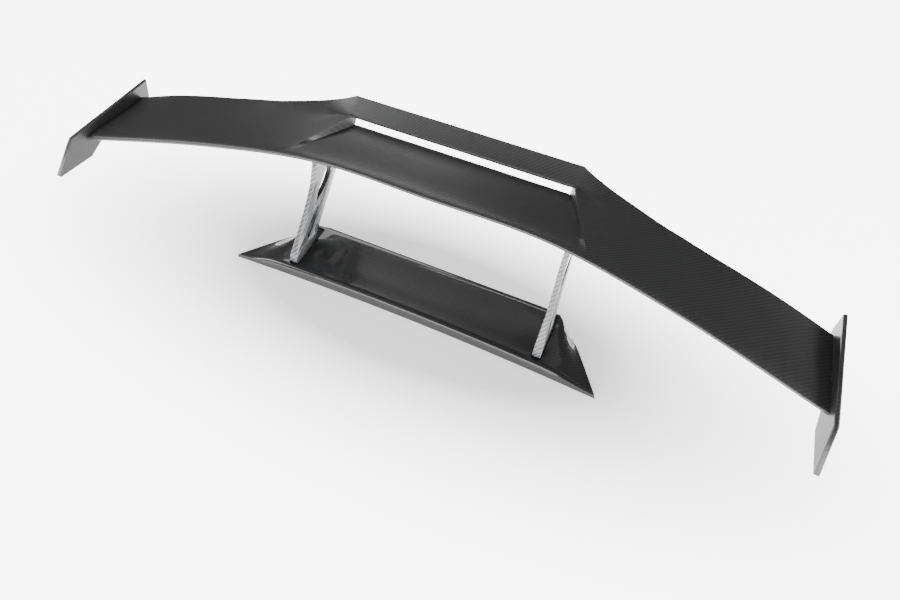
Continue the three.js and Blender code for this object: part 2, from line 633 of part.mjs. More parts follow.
SIDES.forEach(([side, s]) => {
  const plateX = s * (SPAN / 2 + PLATE_THICKNESS / 2);
  const outerX = s * (SPAN / 2 + PLATE_THICKNESS);
  const screwAt = PLATE_SCREWS.map((share) => {
    const middle = plainPoint(s * endRibX, share, 1).lerp(plainPoint(s * endRibX, share, -1), 0.5);
    return [middle.y, middle.z];
  });
  const inward = (geometry, point) => alongX(geometry, -s, outerX - s * 0.8, point);
  const sink = () =>
    turned([[0, -4], [5.4, -4], [5.4, 0.2], [SCREW_HOLE_R, 2.8], [SCREW_HOLE_R, 20], [0, 20]], SCREW_SIDES);
  const ribHole = () => rod(SCREW_HOLE_R, -2, 30, SCREW_SIDES);
  place(wing, `${side}_end_plate`,
    cut(sidePlate(shapeOf(PLATE_OUTLINE), PLATE_THICKNESS, plateX, 2.5),
      ...screwAt.map((point) => inward(sink(), point))), satinCarbon);
  place(wing, `${side}_end_rib`,
    cut(chordBlock(s * endRibX, END_RIB_WIDTH, [0.12, 0.2, 0.3, 0.4, 0.52, 0.62, 0.7]),
      ...screwAt.map((point) => inward(ribHole(), point))), blackAlloy);
  screwAt.forEach((point, k) =>
    place(wing, `${side}_end_plate_screw_${k + 1}`, inward(countersunk(), point), steel));
});

// ---------------------------------------------------------------- deck base panel
const base = new THREE.Group();
object.add(base);
const PANEL_OVER_FOOT = RECESS_DEPTH - GASKET - 2 * GAP;
const panelTopZ = (y) => TOE.z + PANEL_OVER_FOOT + Math.tan(FOOT_TILT) * (y - TOE.y);

// Half width of the panel at a distance behind its front edge.
function baseHalfWidth(y) {
  const straight = lerp(BASE_TIP_X, BASE_REAR_X, (y + BASE_HALF_DEPTH) / (2 * BASE_HALF_DEPTH));
  const into = clamp01((y - BASE_HALF_DEPTH + BASE_CORNER_R) / BASE_CORNER_R);
  return straight - BASE_CORNER_R * (1 - Math.sqrt(1 - into * into));
}

const BASE_ROWS = [0, 0.012, 0.03, 0.06, 0.1, 0.16, 0.26, 0.4, 0.55, 0.7, 0.8, 0.88, 0.94, 0.975, 0.99, 1];
const BASE_COLUMNS = [0, 80, 160, 225, 270, 302, 325];
const BASE_FLANK = [0.2, 0.4, 0.58, 0.74, 0.86, 0.94, 0.985, 1];

function baseTop(x, y, ahead, acrossFlank) {
  const lip = 2.2 * Math.exp(-(((ahead - 10) / 7) ** 2));
  const scoop = 2.4 * Math.sin(Math.PI * clamp01((ahead - 20) / 130)) ** 2 * clamp01((270 - Math.abs(x)) / 60);
  const roundFront = 6 * (1 - clamp01(ahead / 7)) ** 2;
  const roundRear = 5 * (1 - clamp01((BASE_HALF_DEPTH - y) / 8)) ** 2;
  const full = panelTopZ(y) + lip - scoop - roundFront - roundRear;
  return lerp(full, 4 + 0.16 * full, smooth(acrossFlank) ** 1.3);
}

// How far behind the tips the front edge lies.
const frontBow = (x) => BASE_BOW * (1 - (x / BASE_TIP_X) ** 2);

function baseSkin() {
  const last = BASE_COLUMNS[BASE_COLUMNS.length - 1];
  const face = BASE_ROWS.map((v, i) => {
    const nominal = lerp(-BASE_HALF_DEPTH, BASE_HALF_DEPTH, v);
    const wide = baseHalfWidth(nominal);
    const narrow = Math.min(1, wide / (last + 8));
    const half = [
      ...BASE_COLUMNS.map((x) => [x * narrow, 0]),
      ...BASE_FLANK.map((k) => [lerp(last * narrow, wide, k), k]),
    ];
    const rim = i === 0 || i === BASE_ROWS.length - 1;
    const row = half.map(([x, k], j) => {
      const y = nominal + frontBow(x) * (1 - v);
      const ahead = y + BASE_HALF_DEPTH - frontBow(x);
      return new THREE.Vector3(x, y, rim || j === half.length - 1 ? 0 : baseTop(x, y, ahead, k));
    });
    return [...row.slice(1).map((p) => new THREE.Vector3(-p.x, p.y, p.z)).reverse(), ...row];
  });
  const lastRow = face.length - 1;
  const lastColumn = face[0].length - 1;
  const rims = (i, j) => (i === 0 || j === 0 || i === lastRow || j === lastColumn ? [UP] : []);
  return sheetSolid(face, offsetGrid(face, BASE_SKIN, () => true, rims));
}

// A pad outline in the foot's own plane: round at the front, nearly square behind.
function padShape(halfWidth, front, rear) {
  const corner = Math.min(4, halfWidth / 2);
  const shape = new THREE.Shape();
  shape.moveTo(halfWidth, front + halfWidth);
  shape.lineTo(halfWidth, rear - corner);
  shape.absarc(halfWidth - corner, rear - corner, corner, 0, Math.PI / 2, false);
  shape.absarc(corner - halfWidth, rear - corner, corner, Math.PI / 2, Math.PI, false);
  shape.lineTo(-halfWidth, front + halfWidth);
  shape.absarc(0, front + halfWidth, halfWidth, Math.PI, 2 * Math.PI, false);
  return shape;
}

const padPrism = (halfWidth, front, rear, low, high) => new THREE.ExtrudeGeometry(
  padShape(halfWidth, front, rear), { depth: high - low, curveSegments: 5, bevelEnabled: false })
  .translate(0, 0, low);

const PAD_FRONT = -10;
const PAD_REAR = PAD_FRONT + PAD_LENGTH;
const PAD_WALL = 2.1;
const SEAT = -11;                // under the foot plane, where the bolt washers bear
const HEAD_R = 6.5;
const padMatrix = (x) => new THREE.Matrix4().makeRotationX(FOOT_TILT).setPosition(x, TOE.y, TOE.z);
const onPad = (x, geometry) => geometry.applyMatrix4(padMatrix(x));
const atBolts = (x, make) => FOOT_BOLTS.map((y) => onPad(x, make().translate(0, y, 0)));

function mountBlock(x) {
  const body = onPad(x, padPrism(PAD_WIDTH / 2, PAD_FRONT, PAD_REAR, -60, PANEL_OVER_FOOT));
  const recess = onPad(x, padPrism(PAD_WIDTH / 2 - PAD_WALL, PAD_FRONT + PAD_WALL, PAD_REAR - PAD_WALL,
    PANEL_OVER_FOOT - RECESS_DEPTH, 10));
  const below = new THREE.BoxGeometry(100, 400, 200).translate(x, 0, FLOOR_TOP + GAP - 100);
  const bores = atBolts(x, () => rod(BOLT_HOLE_R, -80, 10));
  const sockets = atBolts(x, () => rod(HEAD_R + 2.2, -80, SEAT));
  return cut(body, recess, below, ...bores, ...sockets);
}

// A flat sheet with the panel's outline, and ways through it to the foot bolts.
function flatSheet(inset, low, high) {
  const sides = [];
  for (let k = 0; k <= 10; k += 1) {
    const y = lerp(-BASE_HALF_DEPTH + inset, BASE_HALF_DEPTH - inset, k / 10);
    sides.push([baseHalfWidth(y) - inset, y]);
  }
  const front = [-0.66, -0.33, 0, 0.33, 0.66].map((k) => {
    const x = k * BASE_TIP_X;
    return [x, frontBow(x) - BASE_HALF_DEPTH + inset];
  });
  const outline = [...sides, ...sides.map(([x, y]) => [-x, y]).reverse(), ...front];
  const sheet = new THREE.ExtrudeGeometry(shapeOf(outline), { depth: high - low, bevelEnabled: false })
    .translate(0, 0, low);
  const ways = SIDES.flatMap(([, s]) => atBolts(s * PYLON_X, () => rod(HEAD_R + 3, -60, SEAT)));
  return cut(sheet, ...ways);
}

place(base, 'base_panel_skin', cut(baseSkin(), ...SIDES.map(([, s]) =>
  onPad(s * PYLON_X, padPrism(PAD_WIDTH / 2 + GAP, PAD_FRONT - GAP, PAD_REAR + GAP, -60, 40)))), glossCarbon);
place(base, 'base_panel_floor', flatSheet(7, FLOOR_TOP - 2, FLOOR_TOP), rawCarbon);
place(base, 'mounting_tape', flatSheet(24, 0, FLOOR_TOP - 2 - GAP), tape);

// A top hat section beam under the panel's skin, from one mounting block to the other.
const STIFFENER = [[18, 3.6], [24, 3.6], [24, 24], [44, 24], [44, 3.6], [50, 3.6], [50, 5.6], [46, 5.6],
  [46, 26], [22, 26], [22, 5.6], [18, 5.6]];
place(base, 'base_panel_stiffener',
  sidePlate(shapeOf(STIFFENER), 2 * (PYLON_X - PAD_WIDTH / 2 - 3), 0), rawCarbon);

SIDES.forEach(([side, s]) => {
  const x = s * PYLON_X;
  place(base, `${side}_mount_block`, mountBlock(x), blackAlloy);
  place(base, `${side}_foot_gasket`, cut(
    onPad(x, padPrism(FOOT_HALF + 0.2, -1, 88, -GASKET - GAP, -GAP)),
    ...atBolts(x, () => rod(BOLT_HOLE_R, -5, 5))), rubber);
  const inserts = atBolts(x, () => ring(BOLT_HOLE_R, INSERT_R, 1, INSERT_TOP));
  const bolts = atBolts(x, () =>
    boltGeometry(BOLT_R, 25, HEAD_R, 6, HEAD_R + 1.2).translate(0, 0, SEAT - GAP));
  ['front', 'rear'].forEach((end, k) => {
    place(base, `${side}_foot_insert_${end}`, inserts[k], steel);
    place(base, `${side}_foot_bolt_${end}`, bolts[k], steel);
  });
});

export default object;
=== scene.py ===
# Racing rear wing: the looks. A gull shaped carbon blade with a slotted middle, on two swept
# pylons and a glossy deck base panel. Metres, in the row's frame: +X vehicle left, +Y rearward.
import json
import math

import bmesh
import bpy
import numpy as np
from mathutils import Matrix, Vector


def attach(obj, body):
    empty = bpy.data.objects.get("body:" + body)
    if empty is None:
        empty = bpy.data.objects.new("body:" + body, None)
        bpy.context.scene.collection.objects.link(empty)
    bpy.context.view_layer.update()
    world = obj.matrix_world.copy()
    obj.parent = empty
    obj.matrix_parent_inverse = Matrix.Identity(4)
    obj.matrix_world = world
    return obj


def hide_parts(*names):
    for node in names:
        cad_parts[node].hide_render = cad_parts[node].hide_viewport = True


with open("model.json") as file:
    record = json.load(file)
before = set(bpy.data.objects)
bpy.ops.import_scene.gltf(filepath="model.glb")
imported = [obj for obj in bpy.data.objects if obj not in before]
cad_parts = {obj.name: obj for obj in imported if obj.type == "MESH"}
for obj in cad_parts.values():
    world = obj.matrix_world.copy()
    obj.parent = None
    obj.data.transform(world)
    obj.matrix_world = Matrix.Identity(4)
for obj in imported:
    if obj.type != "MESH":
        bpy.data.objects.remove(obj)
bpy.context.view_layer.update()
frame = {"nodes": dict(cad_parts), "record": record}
nodes = frame["nodes"]
MM = 0.001

# ------------------------------------------------------------------ driving sizes, millimetres
SPAN = 1600.0
TOE = np.array([0.0, -52.0, 24.0])
GAP = 0.3

LEADING_EDGE = [[0, 51, 266], [260, 45, 267], [520, 11, 235], [800, -49, 191]]
TRAILING_EDGE = [[0, 207, 275], [256, 205, 276], [410, 202, 281], [560, 161, 269],
                 [680, 136, 250], [800, 124, 215]]
SKIN = 1.35
SECTION_DEPTH = 0.105
DEEPEST_AT = 0.3
NOSE_BLUNTNESS = 2.4
EDGE_DEPTH = 3.4
CAMBER = 6.0

SLOT_HALF = 254.0
CHEEK_WIDTH = 8.0
CHEEK_FRONT_X = 331.0
CHEEK_FRONT = 0.07
CHEEK_BULGE = 1.5
RISE_END = 455.0
SOFTEN_FROM = 4.0
SOFTEN_OVER = 70.0
SOFTEN_PASSES = 260
SOFTEN_STEP = 0.5
NOSE_LIFT = 20.0
BRIDGE_RUN = 28.0
BRIDGE_RISE = 37.0
BRIDGE_NOSE = 8.4
BRIDGE_CHORD = math.hypot(BRIDGE_RUN, BRIDGE_RISE)
LOWER_LIFT_FROM = 0.72
TAIL_TAPER = 1.5
RISE_FALLOFF = 1.7


def lerp(a, b, t):
    return a + (b - a) * t


def clamp01(value):
    return np.clip(value, 0.0, 1.0)


def smooth(value):
    return value * value * (3 - 2 * value)


# ------------------------------------------------------------------ camera, lights and floor
def aim(name, data, place, target):
    """Places a light so that it shines at its target, with its width level."""
    item = bpy.data.objects.new(name, data)
    bpy.context.scene.collection.objects.link(item)
    back = (Vector(place) - Vector(target)).normalized()
    right = Vector((0, 0, 1)).cross(back).normalized()
    up = back.cross(right)
    turn = Matrix((right, up, back)).transposed().to_4x4()
    item.matrix_world = Matrix.Translation(place) @ turn


CAMERA_PLACE = (0.378, -0.919, 1.002)
CAMERA_RIGHT = (0.91078, 0.40118, 0.09759)
CAMERA_UP = (-0.34877, 0.62101, 0.70193)
CAMERA_BACK = (0.22099, -0.67335, 0.70553)
lens = bpy.data.cameras.new("camera")
lens.lens = 24.1
lens.sensor_width = 36.0
lens.clip_start = 0.01
camera = bpy.data.objects.new("camera", lens)
bpy.context.scene.collection.objects.link(camera)
axes = Matrix((CAMERA_RIGHT, CAMERA_UP, CAMERA_BACK)).transposed().to_4x4()
camera.matrix_world = Matrix.Translation(CAMERA_PLACE) @ axes
bpy.context.scene.camera = camera


def softbox(name, place, target, width, depth, power):
    light = bpy.data.lights.new(name, "AREA")
    light.shape = "RECTANGLE"
    light.size = width
    light.size_y = depth
    light.energy = power
    aim(name, light, place, target)


softbox("front_left_softbox", (-2.1, -1.3, 2.0), (-0.1, 0.0, 0.25), width=1.6, depth=0.8, power=38)
softbox("low_front_softbox", (0.2, -2.2, 0.45), (0.0, 0.0, 0.2), width=2.8, depth=0.5, power=40)
softbox("rear_softbox", (-1.3, 1.7, 2.3), (-0.2, 0.0, 0.2), width=1.3, depth=0.8, power=12)
softbox("right_softbox", (2.6, -0.1, 1.1), (-0.2, 0.1, 0.28), width=1.0, depth=0.8, power=46)
softbox("overhead_strip", (-0.9, 1.15, 2.8), (0.0, 0.0, 0.0), width=2.6, depth=0.05, power=7)

ROOM_STRENGTH = 0.2
world = bpy.data.worlds.new("studio")
world.use_nodes = True
background = world.node_tree.nodes["Background"]
background.inputs["Color"].default_value = (1.0, 1.0, 1.0, 1)
background.inputs["Strength"].default_value = ROOM_STRENGTH
bpy.context.scene.world = world


# ------------------------------------------------------------------ shader recipes
class Wire:
    """A node's output, on which Python arithmetic adds Math nodes."""

    def __init__(self, recipe, socket):
        self.recipe = recipe
        self.socket = socket

    def math(self, operation, *others):
        return self.recipe.node("ShaderNodeMath", {"operation": operation}, self, *others)

    def __add__(self, other):
        return self.math("ADD", other)

    __radd__ = __add__

    def __mul__(self, other):
        return self.math("MULTIPLY", other)

    __rmul__ = __mul__

    def __sub__(self, other):
        return self.math("SUBTRACT", other)

    def __rsub__(self, other):
        return self.recipe.node("ShaderNodeMath", {"operation": "SUBTRACT"}, other, self)

    def __truediv__(self, other):
        return self.math("DIVIDE", other)

    def __mod__(self, other):
        return self.math("FLOORED_MODULO", other)

    def __lt__(self, other):
        return self.math("LESS_THAN", other)

    def floor(self):
        return self.math("FLOOR")

    def clamped(self):
        return self.recipe.node("ShaderNodeClamp", {}, self)

    def power(self, exponent):
        return self.math("POWER", exponent)


class Recipe:
    """One procedural material around a Principled BSDF."""

    def __init__(self, name, **constants):
        self.material = bpy.data.materials.new(name)
        self.material.use_nodes = True
        self.tree = self.material.node_tree
        self.shader = self.tree.nodes["Principled BSDF"]
        for socket, value in constants.items():
            self.shader.inputs[socket.replace("_", " ")].default_value = value

    def node(self, kind, settings, *values, out=0, **named):
        made = self.tree.nodes.new(kind)
        for key, value in settings.items():
            setattr(made, key, value)
        for index, value in enumerate(values):
            self.feed(made.inputs[index], value)
        for socket, value in named.items():
            self.feed(made.inputs[socket], value)
        return Wire(self, made.outputs[out])

    def feed(self, socket, value):
        if isinstance(value, Wire):
            self.tree.links.new(value.socket, socket)
        else:
            socket.default_value = value

    def set(self, socket, value):
        self.feed(self.shader.inputs[socket], value)

    def object_place(self):
        return self.node("ShaderNodeTexCoord", {}, out=3)

    def cloth_place(self):
        return self.node("ShaderNodeUVMap", {"uv_map": "cloth"})

    def split(self, vector):
        made = self.node("ShaderNodeSeparateXYZ", {}, vector)
        return [Wire(self, made.socket.node.outputs[k]) for k in range(3)]

    def blend(self, factor, first, second):
        """Mixes two colours; their sockets share names with others, so they go by number."""
        mixed = self.node("ShaderNodeMix", {"data_type": "RGBA"}, Factor=factor, out=2)
        self.feed(mixed.socket.node.inputs[6], first)
        self.feed(mixed.socket.node.inputs[7], second)
        return mixed

    def noise(self, vector, scale, detail=2.0, roughness=0.5):
        return self.node("ShaderNodeTexNoise", {}, Vector=vector, Scale=scale, Detail=detail,
                         Roughness=roughness)

    def bump(self, height, distance):
        return self.node("ShaderNodeBump", {}, Distance=distance, Height=height)


def grey(level, tint=(1.0, 1.0, 1.0)):
    return (level * tint[0], level * tint[1], level * tint[2], 1.0)


COOL = (0.97, 1.0, 1.06)
# near-black painted shade for the walls inside the pylon cutouts
CUTOUT_WALL_SHADE = 0.005
# the weave repeats after four bundles; of the steps 0 to 3, those under 1.5 have the warp on top
TWILL_REPEAT = 4.0
TWILL_OVER = 1.5
BUNDLE_ROUNDNESS = 3.6
FIBRES_ACROSS = 14.0
FIBRES_ALONG = 0.5
# how far the warp's painted sheen, the fibre streaks (partly real texture, partly painted sheen)
# and slow uneven tone move the cloth between its dark and light tones
WARP_SHEEN = 0.62
FIBRE_SHEEN = 0.5
SHEEN_OFFSET = 0.12
UNEVENNESS = 0.35
# detail sizes, in features per metre
DRIFT_SCALE = 9.0
DUST_SCALE = 46.0
PORE_SCALE = 900.0
CLOUD_SCALE = 160.0
MARK_SCALE = 1400.0
TURNING_ACROSS = 3000.0
TURNING_ALONG = 260.0
PATCH_SCALE = 60.0


def twill(name, tow, dark, light, rough, coat, coat_rough, relief, on_cloth=True, wear=0.5,
          shade_inside=False):
    """Carbon cloth, two over two under, one step over on each row, under lacquer.

    tow is the width of a bundle of fibres in metres, and relief the height of the weave. With
    shade_inside, faces marked "inside" get painted shade: a near-black colour and no lacquer."""
    recipe = Recipe(name, Coat_Weight=coat, Coat_Roughness=coat_rough, Coat_IOR=1.5, IOR=1.5)
    place = recipe.cloth_place() if on_cloth else recipe.object_place()
    u, v, w = recipe.split(place)
    a = (u + w) / tow
    b = (v + w) / tow
    warp_over = ((a.floor() - b.floor()) % TWILL_REPEAT) < TWILL_OVER
    across_warp = (a % 1.0) - 0.5
    across_weft = (b % 1.0) - 0.5
    warp_round = 1.0 - across_warp * across_warp * BUNDLE_ROUNDNESS
    weft_round = 1.0 - across_weft * across_weft * BUNDLE_ROUNDNESS
    height = warp_over * warp_round + (1.0 - warp_over) * weft_round
    # fibres run along each bundle
    along_warp = recipe.node("ShaderNodeCombineXYZ", {}, a * FIBRES_ACROSS, b * FIBRES_ALONG, 0.0)
    along_weft = recipe.node("ShaderNodeCombineXYZ", {}, a * FIBRES_ALONG, b * FIBRES_ACROSS, 3.0)
    warp_fibres = recipe.noise(along_warp, 1.0, 1.0)
    weft_fibres = recipe.noise(along_weft, 1.0, 1.0)
    fibres = warp_over * warp_fibres + (1.0 - warp_over) * weft_fibres
    drift = recipe.noise(recipe.object_place(), DRIFT_SCALE, 3.0)
    # painted sheen: bundles with the warp on top are painted lighter than the weft, and the fibre
    # streaks partly so; the drift is uneven tone
    shade = (warp_over * WARP_SHEEN + fibres * FIBRE_SHEEN - SHEEN_OFFSET
             + (drift - 0.5) * UNEVENNESS).clamped()
    # painted shade of the rounded bundles: each is painted darker towards its edges, darkest in
    # the grooves between them
    tone = shade * (height * 0.8 + 0.3).clamped()
    cloth_colour = recipe.blend(tone, grey(dark, COOL), grey(light, COOL))
    # painted shade: the walls inside the pylon cutouts are painted near-black and lose their
    # lacquer
    if shade_inside:
        inside = recipe.node("ShaderNodeAttribute", {"attribute_name": "inside"}, out=2)
        cloth_colour = recipe.blend(inside, cloth_colour, grey(CUTOUT_WALL_SHADE, COOL))
        recipe.set("Coat Weight", (1.0 - inside) * coat)
    recipe.set("Base Color", cloth_colour)
    dust = recipe.noise(recipe.object_place(), DUST_SCALE, 4.0, 0.65)
    scuffs = ((dust - 0.5) * 3.0).clamped()
    recipe.set("Roughness", rough + (1.0 - warp_over) * 0.06 + scuffs * 0.12 * wear)
    pores = recipe.noise(recipe.object_place(), PORE_SCALE, 2.0)
    recipe.set("Normal", recipe.bump(height + fibres * 0.25 + pores * 0.1, relief))
    return recipe.material


def metal(name, colour, rough, grain, metallic=1.0):
    """Machined or plated metal with fine grain, small marks and slightly uneven polish."""
    recipe = Recipe(name, IOR=1.5)
    place = recipe.object_place()
    cloudy = recipe.noise(place, CLOUD_SCALE, 4.0, 0.6)
    marks = recipe.noise(place, MARK_SCALE, 3.0, 0.7)
    x, y, z = recipe.split(place)
    stretched = recipe.node("ShaderNodeCombineXYZ", {}, x * TURNING_ACROSS, y * TURNING_ALONG,
                            z * TURNING_ALONG)
    turning = recipe.noise(stretched, 1.0, 2.0)
    darker = tuple(c * 0.72 for c in colour[:3]) + (1.0,)
    recipe.set("Base Color", recipe.blend(((cloudy - 0.3) * 1.6).clamped(), darker, colour))
    recipe.shader.inputs["Metallic"].default_value = metallic
    recipe.set("Roughness", rough + (cloudy - 0.5) * 0.25 + (marks - 0.5) * 0.12)
    recipe.set("Normal", recipe.bump(turning * 0.5 + marks * 0.5, grain))
    return recipe.material


def moulded(name, colour, rough, scale, relief):
    """Rubber, tape or foam with a pebbled or cellular face."""
    recipe = Recipe(name, IOR=1.48)
    place = recipe.object_place()
    cells = recipe.node("ShaderNodeTexVoronoi", {}, Vector=place, Scale=scale)
    patches = recipe.noise(place, PATCH_SCALE, 4.0, 0.6)
    pale = tuple(min(1.0, c * 1.35 + 0.01) for c in colour[:3]) + (1.0,)
    recipe.set("Base Color", recipe.blend(((patches - 0.3) * 1.5).clamped(), colour, pale))
    recipe.set("Roughness", rough + (patches - 0.5) * 0.15)
    recipe.set("Normal", recipe.bump(cells, relief))
    return recipe.material


satin_carbon = twill("satin_twill", tow=0.0021, dark=0.006, light=0.034, rough=0.45,
                     coat=0.6, coat_rough=0.30, relief=0.00010)
# the pylons' cloth, with painted shade on the walls inside their cutouts
pylon_carbon = twill("silver_twill", tow=0.0026, dark=0.03, light=0.28, rough=0.30,
                     coat=0.8, coat_rough=0.12, relief=0.00012, shade_inside=True)
gloss_carbon = twill("lacquered_twill", tow=0.0024, dark=0.002, light=0.020, rough=0.30,
                     coat=1.0, coat_rough=0.02, relief=0.00003, wear=0.2)
raw_carbon = twill("raw_twill", tow=0.0025, dark=0.012, light=0.05, rough=0.55,
                   coat=0.0, coat_rough=0.3, relief=0.00012, on_cloth=False)
steel = metal("plated_steel", (0.46, 0.47, 0.49, 1), 0.30, 0.00001)
black_alloy = metal("anodised_alloy", (0.03, 0.031, 0.034, 1), 0.42, 0.00001, metallic=0.7)
rubber = moulded("gasket_rubber", (0.014, 0.014, 0.015, 1), 0.78, 1800.0, 0.00003)
tape = moulded("mounting_tape_foam", (0.022, 0.022, 0.024, 1), 0.85, 1200.0, 0.00005)
foam = moulded("core_foam", (0.62, 0.52, 0.35, 1), 0.9, 1500.0, 0.0001)
BY_SLOT = {
    "satin_carbon": satin_carbon,
    "pylon_carbon": pylon_carbon,
    "gloss_carbon": gloss_carbon,
    "raw_carbon": raw_carbon,
    "steel": steel,
    "black_alloy": black_alloy,
    "gasket_rubber": rubber,
    "tape": tape,
    "foam_core": foam,
}


# ------------------------------------------------------------------ mesh tools
def make_piece(name, mesh, material, body, replaced=()):
    """Registers a finished mesh, already in the row frame, as a piece of the wing."""
    piece = bpy.data.objects.new(name, mesh)
    bpy.context.scene.collection.objects.link(piece)
    mesh.materials.clear()
    mesh.materials.append(material)
    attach(piece, body)
    if replaced:
        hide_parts(*replaced)
    return piece


def soften(mesh, degrees=32):
    """Smooth shading, with the edges sharper than the angle kept crisp."""
    mesh.shade_smooth()
    mesh.set_sharp_from_angle(angle=math.radians(degrees))


def cloth_by_facing(mesh):
    """Lays the cloth flat on whichever side each face looks to."""
    layer = mesh.uv_layers.get("cloth") or mesh.uv_layers.new(name="cloth")
    for face in mesh.polygons:
        n = [abs(c) for c in face.normal]
        first, second = [(1, 2), (0, 2), (0, 1)][n.index(max(n))]
        for loop in face.loop_indices:
            place = mesh.vertices[mesh.loops[loop].vertex_index].co
            layer.data[loop].uv = (place[first], place[second])


def spline_rows(values, count_between, breaks):
    """Catmull-Rom through the rows of an array; a break keeps the curve's ends apart there."""
    rows = len(values)
    out = []
    marks = []
    for k in range(rows - 1):
        straight = k in breaks
        before = values[k] if k == 0 or (k - 1) in breaks else values[k - 1]
        after = values[k + 1] if k == rows - 2 or (k + 1) in breaks else values[k + 2]
        steps = 1 if straight else count_between
        for s in range(steps):
            t = s / steps
            marks.append(k + t)
            p0, p1, p2, p3 = before, values[k], values[k + 1], after
            m1 = (p2 - p0) * 0.5
            m2 = (p3 - p1) * 0.5
            out.append(p1 * (1 + 2 * t) * (1 - t) ** 2 + m1 * t * (1 - t) ** 2
                       + p2 * t * t * (3 - 2 * t) - m2 * t * t * (1 - t))
    out.append(values[-1])
    marks.append(rows - 1)
    return np.array(out), np.array(marks)


def sheet_mesh(name, face, thickness, keep, cloth, limits):
    """A walled sheet. face: rows x columns x 3; keep: (rows-1) x (columns-1) cells; cloth: rows x
    columns x 2, both sides share it. A negative thickness puts the wall above the face; limits
    are the two corners of the box the sheet stays in."""
    rows, columns = face.shape[:2]
    across = face[1:, 1:] - face[:-1, :-1]
    down = face[:-1, 1:] - face[1:, :-1]
    normal = np.cross(across, down)
    normal /= np.maximum(np.linalg.norm(normal, axis=2, keepdims=True), 1e-12)
    normal = normal * keep[..., None]
    total = np.zeros_like(face)
    for di in (0, 1):
        for dj in (0, 1):
            total[di:rows - 1 + di, dj:columns - 1 + dj] += normal
    # the wall stays in the plane of each end, and goes straight back along the nose
    total[:, 0, 0] = 0
    total[:, -1, 0] = 0
    total[0, :, 2] = 0
    total /= np.maximum(np.linalg.norm(total, axis=2, keepdims=True), 1e-12)
    back = face + total * thickness
    points = np.concatenate([face.reshape(-1, 3), back.reshape(-1, 3)])
    points = np.clip(points, limits[0], limits[1])
    behind = rows * columns
    index = np.arange(behind).reshape(rows, columns)
    padded = np.zeros((rows + 1, columns + 1), bool)
    padded[1:-1, 1:-1] = keep
    faces = []
    uv = np.concatenate([cloth.reshape(-1, 2), cloth.reshape(-1, 2)])
    for i, j in zip(*np.nonzero(keep)):
        a, b, c, d = index[i, j], index[i + 1, j], index[i + 1, j + 1], index[i, j + 1]
        faces.append((a, b, c, d))
        faces.append((behind + d, behind + c, behind + b, behind + a))
        edges = (((i + 1, j), (a, b)), ((i + 2, j + 1), (b, c)),
                 ((i + 1, j + 2), (c, d)), ((i, j + 1), (d, a)))
        for near, (p, q) in edges:
            if not padded[near]:
                faces.append((q, p, behind + p, behind + q))
    used = np.unique(np.array([k for f in faces for k in f]))
    renumber = -np.ones(2 * behind, int)
    renumber[used] = np.arange(len(used))
    mesh = bpy.data.meshes.new(name)
    mesh.from_pydata((points[used] * MM).tolist(), [], [tuple(renumber[list(f)]) for f in faces])
    uv = uv[used] * MM
    layer = mesh.uv_layers.new(name="cloth")
    corner = np.zeros(len(mesh.loops), int)
    mesh.loops.foreach_get("vertex_index", corner)
    layer.data.foreach_set("uv", uv[corner].ravel())
    fix = bmesh.new()
    fix.from_mesh(mesh)
    bmesh.ops.recalc_face_normals(fix, faces=fix.faces)
    fix.to_mesh(mesh)
    fix.free()
    soften(mesh)
    return mesh


# ------------------------------------------------------------------ blade
def span_curve(stations):
    """A smooth curve through [distance, y, z] stations, level where it crosses the middle."""
    first = stations[1]
    points = np.array([[-first[0], first[1], first[2]]] + stations, float)

    def slope(k):
        before = points[max(k - 1, 0)]
        after = points[min(k + 1, len(points) - 1)]
        return (after[1:] - before[1:]) / (after[0] - before[0])

    def at(x):
        distance = min(abs(x), points[-1][0])
        k = 1
        while k < len(points) - 2 and distance > points[k + 1][0]:
            k += 1
        width = points[k + 1][0] - points[k][0]
        s = (distance - points[k][0]) / width
        return (points[k][1:] * (1 + 2 * s) * (1 - s) ** 2 + slope(k) * width * s * (1 - s) ** 2
                + points[k + 1][1:] * s * s * (3 - 2 * s) - slope(k + 1) * width * s * s * (1 - s))

    return at


leading_edge = span_curve(LEADING_EDGE)
trailing_edge = span_curve(TRAILING_EDGE)


def section_half_depth(share, chord):
    """Half the section's thickness at a share of the chord from the nose."""
    deepest = SECTION_DEPTH * chord
    if share < DEEPEST_AT:
        ahead = 1 - share / DEEPEST_AT
        rounded = (1 - ahead ** NOSE_BLUNTNESS) ** (1 / NOSE_BLUNTNESS)
        return max(deepest * rounded, GAP) / 2
    behind = (share - DEEPEST_AT) / (1 - DEEPEST_AT)
    return lerp(deepest, EDGE_DEPTH, behind ** TAIL_TAPER) / 2


def plain_point(x, share, side):
    """A point on the blade before its middle is raised; side is 1 above and -1 below."""
    y0, z0 = leading_edge(x)
    y1, z1 = trailing_edge(x)
    chord = math.hypot(y1 - y0, z1 - z0)
    cy, cz = (y1 - y0) / chord, (z1 - z0) / chord
    height = side * section_half_depth(share, chord) - CAMBER * 4 * share * (1 - share)
    return np.array([x, y0 + cy * chord * share - cz * height,
                     z0 + cz * chord * share + cy * height])


def rise_share(x):
    """How much of the raise is left at x: all beside the slot, none further out."""
    outward = float(clamp01((abs(x) - SLOT_HALF - CHEEK_WIDTH) / (RISE_END - SLOT_HALF)))
    return (1 - outward) ** RISE_FALLOFF


def bridge_offset(p, q):
    """A place p along and q above the second element's chord, from the trailing edge."""
    return ((p * BRIDGE_RUN - q * BRIDGE_RISE) / BRIDGE_CHORD,
            NOSE_LIFT + (p * BRIDGE_RISE + q * BRIDGE_RUN) / BRIDGE_CHORD)


